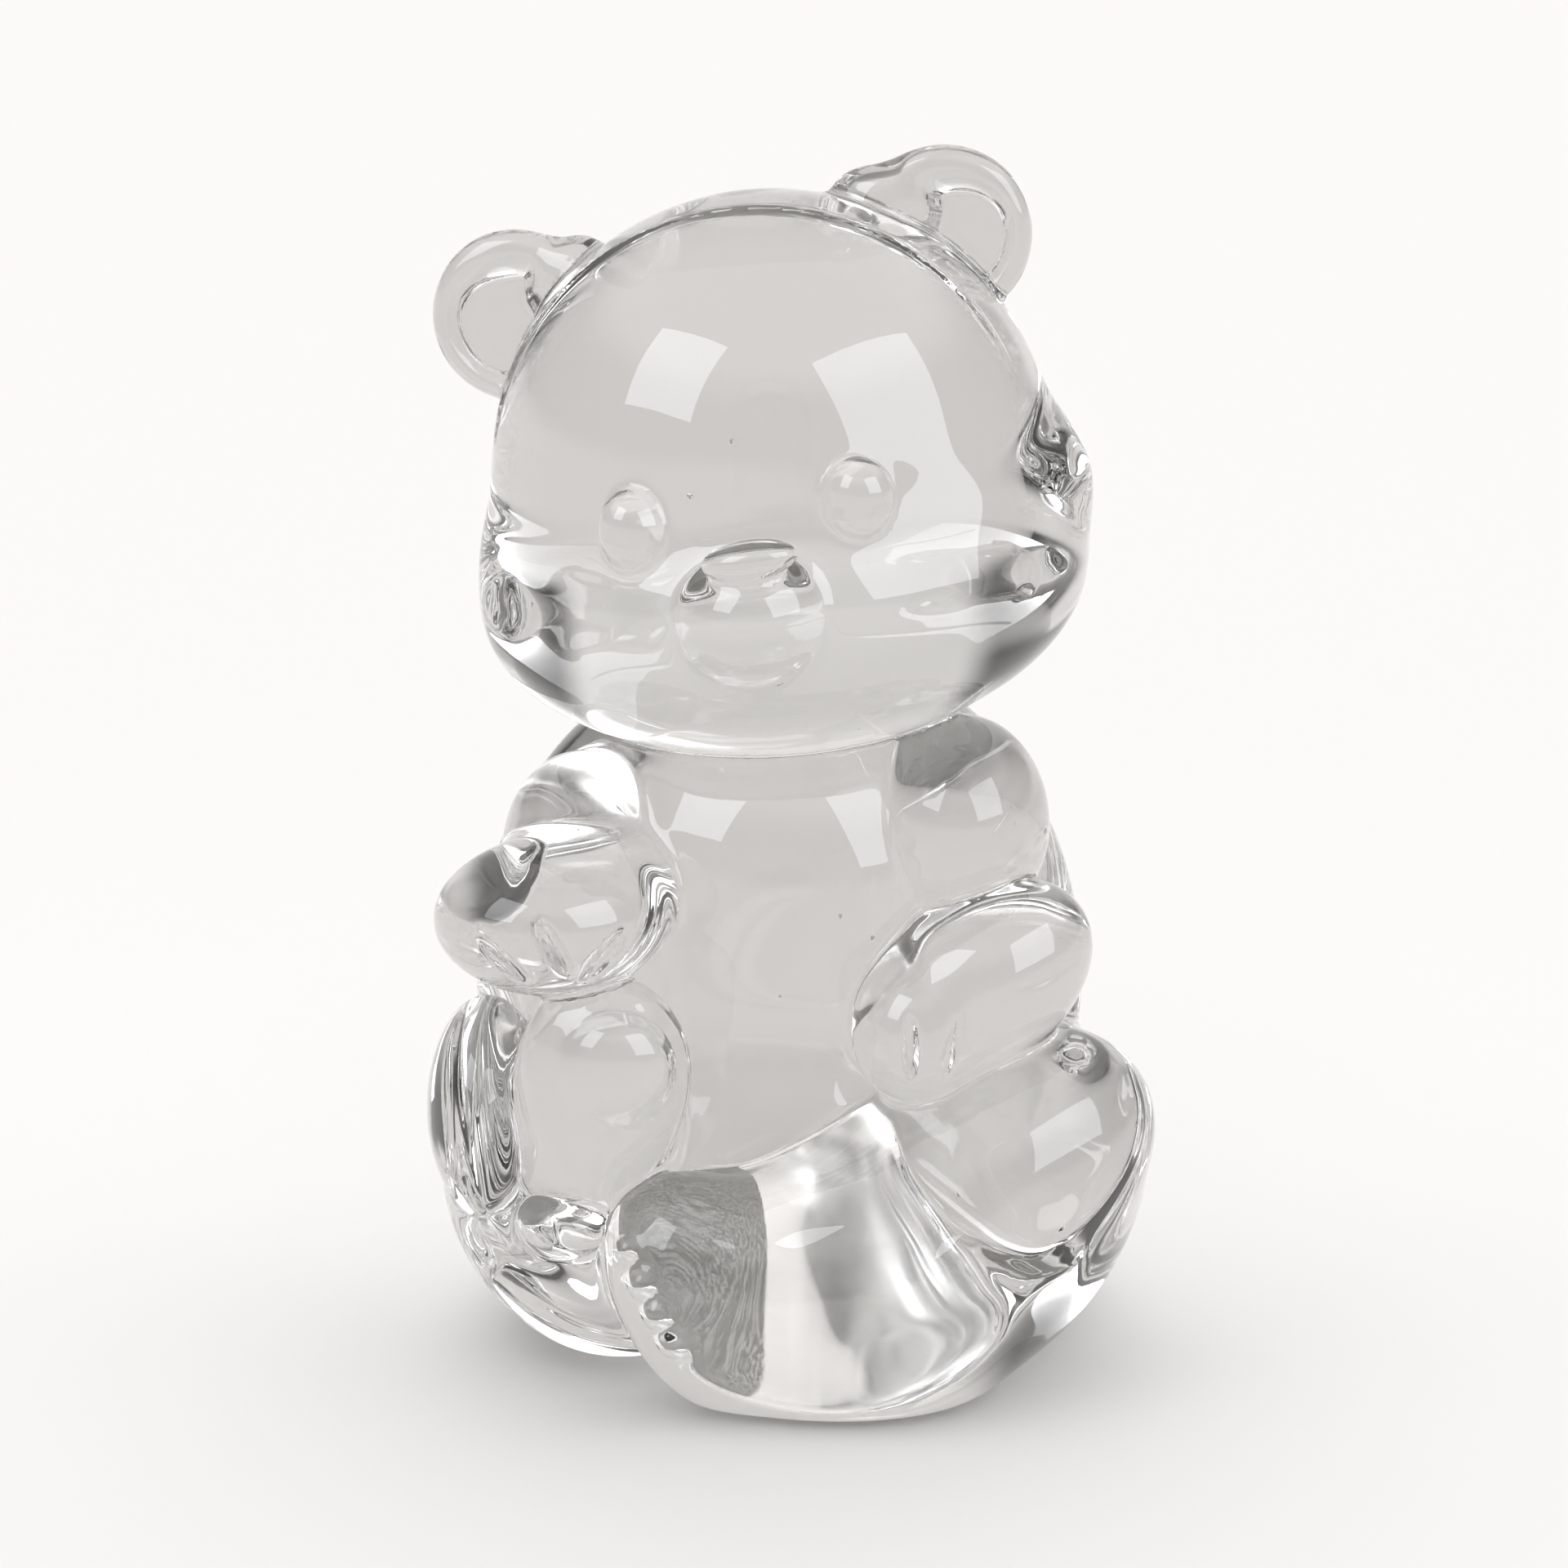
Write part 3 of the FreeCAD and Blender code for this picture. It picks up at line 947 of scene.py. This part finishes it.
@dataclass(frozen=True)
class GroundGlass(Glass):
    """The flat base: dulled all over and tinted darker than the skin as painted shade of the contact shadow
    under the figure, with a patch that the grinding wheel left frosted, which is painted grey.
    """

    # How much of the frosted patch's light turns to grey diffuse: painted shade, not a property of the
    # glass.
    painted_shade_share: float = 0.62
    edge: Span = (-0.0004, 0.0002)
    rim: Span = (-0.015, -0.006)
    grain_scale: float = 2600.0
    grain_detail: float = 3.0
    grain: Span = (0.45, 0.58)
    thinnest: float = 0.6

    def frost_and_shade_mask(self, tree: Tree, place: Node) -> Socket:
        """How frosted the base is, and so where its painted grey shade goes: grainy, straight-edged on one
        side, and fading towards the front rim.

        Args:
            tree: the material's nodes.
            place: its texture coordinates.
        Returns:
            A value from 0, dulled, to 1, frosted and painted grey most: side * inner * grain.
        """
        parts = add_node(tree, "ShaderNodeSeparateXYZ")
        speckle = add_node(tree, "ShaderNodeTexNoise", Scale=self.grain_scale, Detail=self.grain_detail)
        for node in (parts, speckle):
            tree.links.new(place.outputs["Object"], node.inputs["Vector"])
        side = fade(tree, parts.outputs["X"], *self.edge, 1.0, 0.0)
        inner = fade(tree, parts.outputs["Y"], *self.rim, 0.0, 1.0)
        grain = fade(tree, speckle.outputs["Fac"], *self.grain, self.thinnest, 1.0)
        return combine(tree, "MULTIPLY", combine(tree, "MULTIPLY", side, inner), grain)

    def dullness(self, tree: Tree, place: Node, wave: Node) -> Socket:
        """The roughness: high where the base is frosted, low elsewhere."""
        return fade(tree, self.frost_and_shade_mask(tree, place), 0.0, 1.0, self.roughness, self.smear)

    def grind_and_shade(self, tree: Tree, place: Node, fine: Node, shader: Node) -> None:
        """Keeps the pores to the frosted patch, and turns part of its light back as a grey diffuse layer:
        painted shade of the contact shadow under the figure.

        Args:
            tree: the material's nodes.
            place: its texture coordinates.
            fine: the bump that the pores make.
            shader: the glass itself.
        """
        frost_and_shade_mask = self.frost_and_shade_mask(tree, place)
        # Painted shade: where the base is frosted, part of the transmission becomes the dark base tint's
        # grey diffuse.
        clear = fade(tree, frost_and_shade_mask, 0.0, 1.0, 1.0, 1.0 - self.painted_shade_share)
        tree.links.new(frost_and_shade_mask, fine.inputs["Strength"])
        tree.links.new(clear, shader.inputs["Transmission Weight"])


@dataclass(frozen=True)
class SharedWall:
    """The wall between two masses of the same glass, which light crosses as if it were not there."""

    name: str = "shared_wall"

    def build(self) -> bpy.types.Material:
        """Builds the see-through finish.

        Returns:
            The material.
        """
        material = bpy.data.materials.new(self.name)
        material.use_nodes = True
        tree = material.node_tree
        tree.nodes.clear()
        clear = add_node(tree, "ShaderNodeBsdfTransparent")
        output = add_node(tree, "ShaderNodeOutputMaterial")
        tree.links.new(clear.outputs["BSDF"], output.inputs["Surface"])
        return material


SKIN = Glass("clear_glass_skin", tint=(0.64, 0.633, 0.622), roughness=0.0, smear=0.01)
# The base's tint, much darker than the skin's, is painted shade standing in for the contact shadow under
# the figure.
BASE = GroundGlass(
    "ground_glass_with_painted_shade", tint=(0.36, 0.36, 0.33), roughness=0.2, smear=0.7, pore_scale=2600.0,
    pore_depth=0.000004,
)


@dataclass(frozen=True)
class Paper:
    """The studio's matt white sweep."""

    name: str = "white_sweep"
    colour: Triple = (0.93, 0.925, 0.92)
    roughness: float = 0.95
    gloss: float = 0.1

    def build(self) -> bpy.types.Material:
        """Builds the matt finish.

        Returns:
            The material.
        """
        material = bpy.data.materials.new(self.name)
        material.use_nodes = True
        shader = material.node_tree.nodes["Principled BSDF"]
        shader.inputs["Base Color"].default_value = (*self.colour, 1)
        shader.inputs["Roughness"].default_value = self.roughness
        shader.inputs["Specular IOR Level"].default_value = self.gloss
        return material


# ----------------------------------------
# Pieces


@dataclass
class Workshop:
    """Turns the net into one closed mesh for each mass, and dresses it."""

    figure: Figure
    net: Net
    finishes: dict[Wall, bpy.types.Material]
    seeds: Seeds = Seeds()
    ground_level: float = 0.03
    ground_lean: float = -0.9

    def piece(self, label: int, mass: Mass) -> bpy.types.Object:
        """One piece as a closed shell with its faces outwards.

        Args:
            label: the mass's number in the net.
            mass: the mass itself.
        Returns:
            The piece's object, at the origin, riding on the body and standing for its node.
        """
        net = self.net
        ahead, behind = net.behind == label, net.ahead == label
        quads = np.concatenate((net.quads[ahead], net.quads[behind][:, ::-1]))
        neighbour = np.concatenate((net.ahead[ahead], net.behind[behind]))
        used, corner = np.unique(quads, return_inverse=True)
        quads = corner.reshape(quads.shape)
        knots, normals = net.knots[used], net.normals[used]
        middle, lean = knots[quads].mean(1), normals[quads].mean(1)
        grounded = (middle[:, 2] < self.ground_level) & (lean[:, 2] < self.ground_lean)
        outside = np.where(grounded, Wall.GROUND.value, Wall.AIR.value)
        walls = np.where(neighbour > 0, Wall.GLASS.value, outside)
        count = dict(self.seeds.counts).get(mass.node)
        if count:
            points, inwards, faces = self.seeds.shells(self.figure, label, count)
            quads = np.concatenate((quads, faces + len(knots)))
            knots, normals = np.concatenate((knots, points)), np.concatenate((normals, inwards))
            walls = np.concatenate((walls, np.full(len(faces), Wall.AIR.value)))

        mesh = bpy.data.meshes.new(mass.node)
        mesh.vertices.add(len(knots))
        mesh.vertices.foreach_set("co", (knots * MM).astype(np.float32).ravel())
        mesh.loops.add(quads.size)
        mesh.loops.foreach_set("vertex_index", quads.astype(np.int32).ravel())
        mesh.polygons.add(len(quads))
        mesh.polygons.foreach_set("loop_start", np.arange(0, quads.size, 4, dtype=np.int32))
        mesh.polygons.foreach_set("material_index", walls.astype(np.int32))
        mesh.update(calc_edges=True)
        mesh.shade_smooth()
        mesh.normals_split_custom_set(self.corner_normals(knots, normals, quads, walls))
        for wall in Wall:
            mesh.materials.append(self.finishes[wall])

        made = bpy.data.objects.new(f"glass_{mass.node}", mesh)
        bpy.context.scene.collection.objects.link(made)
        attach(made, "root")
        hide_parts(mass.node)
        self.report(mass.node, knots, len(quads))
        return made

    @staticmethod
    def corner_normals(knots: Array, normals: Array, quads: Array, walls: Array) -> Array:
        """Each corner's normal: the field's own slope on the outside, and flat on a shared wall.

        Args:
            knots: the piece's points.
            normals: the slope at each point.
            quads: the faces.
            walls: what each face looks out on.
        Returns:
            One normal for each corner of each face.
        """
        corner = knots[quads]
        flat = np.cross(corner[:, 2] - corner[:, 0], corner[:, 3] - corner[:, 1])
        flat /= np.maximum(np.linalg.norm(flat, axis=1, keepdims=True), 1e-12)
        found = normals[quads]
        shared = walls == Wall.GLASS.value
        found[shared] = flat[shared][:, None]
        return found.reshape(-1, 3)

    @staticmethod
    def report(node: str, knots: Array, faces: int) -> None:
        """Logs a piece's faces and how far its box is from its node's, in millimetres.

        Args:
            node: the CAD node that the piece stands for.
            knots: the piece's points.
            faces: how many faces it has.
        """
        low, high = (np.array(corner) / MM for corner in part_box(node))
        apart = max(np.abs(knots.min(0) - low).max(), np.abs(knots.max(0) - high).max())
        LOG.info("%s: %d faces, its box is within %.2f mm of its node's", node, faces, apart)


# ----------------------------------------
# The studio


@dataclass
class Lamp:
    """A flat soft light, aimed at the figure."""

    name: str
    place: Triple
    width: float
    height: float
    power: float
    colour: Triple = (1.0, 1.0, 1.0)

    def build(self, target: Vector) -> None:
        """Makes the light, which lights the glass and not the floor, and turns it towards the target.

        Args:
            target: the point that it is aimed at.
        """
        light = bpy.data.lights.new(self.name, "AREA")
        light.shape = "RECTANGLE"
        light.size, light.size_y = self.width, self.height
        light.energy = self.power
        light.color = self.colour
        made = bpy.data.objects.new(self.name, light)
        made.location = self.place
        made.visible_diffuse = False
        made.rotation_euler = (target - made.location).to_track_quat("-Z", "Y").to_euler()
        bpy.context.scene.collection.objects.link(made)


@dataclass
class Studio:
    """The camera, a white sweep, soft lights and the room's glow."""

    elevation: float = 14.0
    distance: float = 0.320
    lens: float = 97.1
    sensor: float = 36.0
    clip: Span = (0.01, 60.0)
    shift: float = 0.0078
    aim_share: float = 0.4488
    floor_size: float = 40.0
    floor_drop: float = 0.0003
    horizon: float = 1.0
    ceiling: float = 1.5
    glow_colour: Triple = (1.0, 0.985, 0.97)
    ceiling_rise: Span = (0.35, 0.75)
    wall_foot: Span = (0.05, 0.2)
    wall_top: Span = (0.45, 0.75)
    side_wall: Span = (0.45, 0.62)
    side_dark: float = 0.95
    front_wall: Span = (-0.6, -0.2)
    front_dark: float = 0.92
    bounces: int = 24
    wall_bounces: int = 48
    glossy_bounces: int = 16
    lamps: tuple[Lamp, ...] = (
        Lamp("window_right", (0.373, -0.342, 0.382), 0.46, 0.42, 2.4, (0.94, 0.96, 1.0)),
        Lamp("window_left", (-0.367, -0.297, 0.431), 0.30, 0.34, 1.4, (0.94, 0.96, 1.0)),
    )

    def aim(self) -> Vector:
        """The point that the camera looks at, on the figure's axis."""
        low, high = CAD_BOUNDS
        return Vector((0, 0, low[2] + self.aim_share * (high[2] - low[2])))

    def camera(self) -> None:
        """A long lens, a little above the figure and straight in front of it."""
        lens = bpy.data.cameras.new("camera")
        lens.lens, lens.sensor_width = self.lens, self.sensor
        lens.shift_y = self.shift
        lens.clip_start, lens.clip_end = self.clip
        made = bpy.data.objects.new("camera", lens)
        lift = math.radians(self.elevation)
        made.location = self.aim() + self.distance * Vector((0, -math.cos(lift), math.sin(lift)))
        made.rotation_euler = (math.pi / 2 - lift, 0, 0)
        bpy.context.scene.collection.objects.link(made)
        bpy.context.scene.camera = made

    def floor(self) -> None:
        """A flat white floor just under the ground base."""
        half = self.floor_size / 2
        level = CAD_BOUNDS[0][2] - self.floor_drop
        mesh = bpy.data.meshes.new("floor")
        mesh.from_pydata(
            [(-half, -half, level), (half, -half, level), (half, half, level), (-half, half, level)],
            [], [(0, 1, 2, 3)],
        )
        mesh.materials.append(Paper().build())
        made = bpy.data.objects.new("floor", mesh)
        bpy.context.scene.collection.objects.link(made)

    def room(self) -> None:
        """The room's glow by direction: bright ceiling, pale horizon, dark walls at the sides and front.

        The glow is horizon + (ceiling - horizon) * rise, less what the walls take: each wall fades in
        with how far the direction leans its way, and out again below its foot and above its top.
        """
        world = bpy.data.worlds.new("room")
        world.use_nodes = True
        tree = world.node_tree
        tree.nodes.clear()
        place = add_node(tree, "ShaderNodeTexCoord")
        parts = add_node(tree, "ShaderNodeSeparateXYZ")
        tree.links.new(place.outputs["Generated"], parts.inputs["Vector"])

        sideways = add_node(tree, "ShaderNodeMath", operation="ABSOLUTE")
        tree.links.new(parts.outputs["X"], sideways.inputs[0])
        foot = fade(tree, parts.outputs["Z"], *self.wall_foot, 0.0, 1.0)
        top = fade(tree, parts.outputs["Z"], *self.wall_top, 1.0, 0.0)
        height = combine(tree, "MULTIPLY", foot, top)
        sides = fade(tree, sideways.outputs["Value"], *self.side_wall, 0.0, self.side_dark)
        front = fade(tree, parts.outputs["Y"], *self.front_wall, self.front_dark, 0.0)
        dark = combine(tree, "MULTIPLY", combine(tree, "MAXIMUM", sides, front), height)
        bright = fade(tree, parts.outputs["Z"], *self.ceiling_rise, self.horizon, self.ceiling)
        one = add_node(tree, "ShaderNodeMath", operation="SUBTRACT")
        one.inputs[0].default_value = 1.0
        tree.links.new(dark, one.inputs[1])
        glow = add_node(tree, "ShaderNodeBackground", Color=(*self.glow_colour, 1))
        output = add_node(tree, "ShaderNodeOutputWorld")
        tree.links.new(combine(tree, "MULTIPLY", bright, one.outputs["Value"]), glow.inputs["Strength"])
        tree.links.new(glow.outputs["Background"], output.inputs["Surface"])
        bpy.context.scene.world = world

    def build(self) -> None:
        """The whole studio, with enough bounces for light to find its way out of thick glass."""
        self.camera()
        self.floor()
        self.room()
        for lamp in self.lamps:
            lamp.build(self.aim())
        scene = bpy.context.scene
        scene.view_settings.view_transform = "Standard"
        scene.cycles.max_bounces = scene.cycles.transmission_bounces = self.bounces
        scene.cycles.transparent_max_bounces = self.wall_bounces
        scene.cycles.glossy_bounces = self.glossy_bounces


LIMBS = (
    ("head",), ("torso",), ("haunch_left", "shin_left", "foot_left"), ("haunch_right",), ("knee_right",),
    ("shin_right", "foot_right"), ("heel_right",), ("sole_pad_right",), ("toes_left",),
    ("upper_arm_left",), ("upper_arm_right",), ("forearm_left", "paw_left"),
    ("forearm_right", "paw_right"), ("muzzle",), ("nose",), ("eye_right",), ("eye_left",),
    ("ear_right",), ("ear_left",),
)
# How softly a limb's masses run together, by the limb's first mass.
LIMB_BLENDS = {"haunch_left": 1.7, "forearm_left": 0.8, "forearm_right": 0.8}


def assemble() -> list[Limb]:
    """Groups the sub-assemblies' masses into limbs.

    Returns:
        The limbs, in the order in which their masses take the glass that they share.
    """
    masses = {
        mass.node: mass
        for assembly in (Head(), Torso(), Legs(), Arms()) for mass in assembly.masses()
    }
    return [Limb([masses[node] for node in nodes], LIMB_BLENDS.get(nodes[0], 1.0)) for nodes in LIMBS]


def main() -> None:
    """Builds the figure piece by piece, and the studio round it."""
    logging.basicConfig(level=logging.INFO, format="%(name)s: %(message)s")
    limbs = assemble()
    low, high = (np.array(corner) / MM for corner in CAD_BOUNDS)
    figure = Figure(limbs)
    net = Mould(figure, low, high).cast()
    finishes = {
        Wall.AIR: SKIN.build(),
        Wall.GROUND: BASE.build(),
        Wall.GLASS: SharedWall().build(),
    }
    workshop = Workshop(figure, net, finishes)
    for label, mass in enumerate(figure.masses, start=1):
        workshop.piece(label, mass)
    Studio().build()


if __name__ == "__main__":
    main()
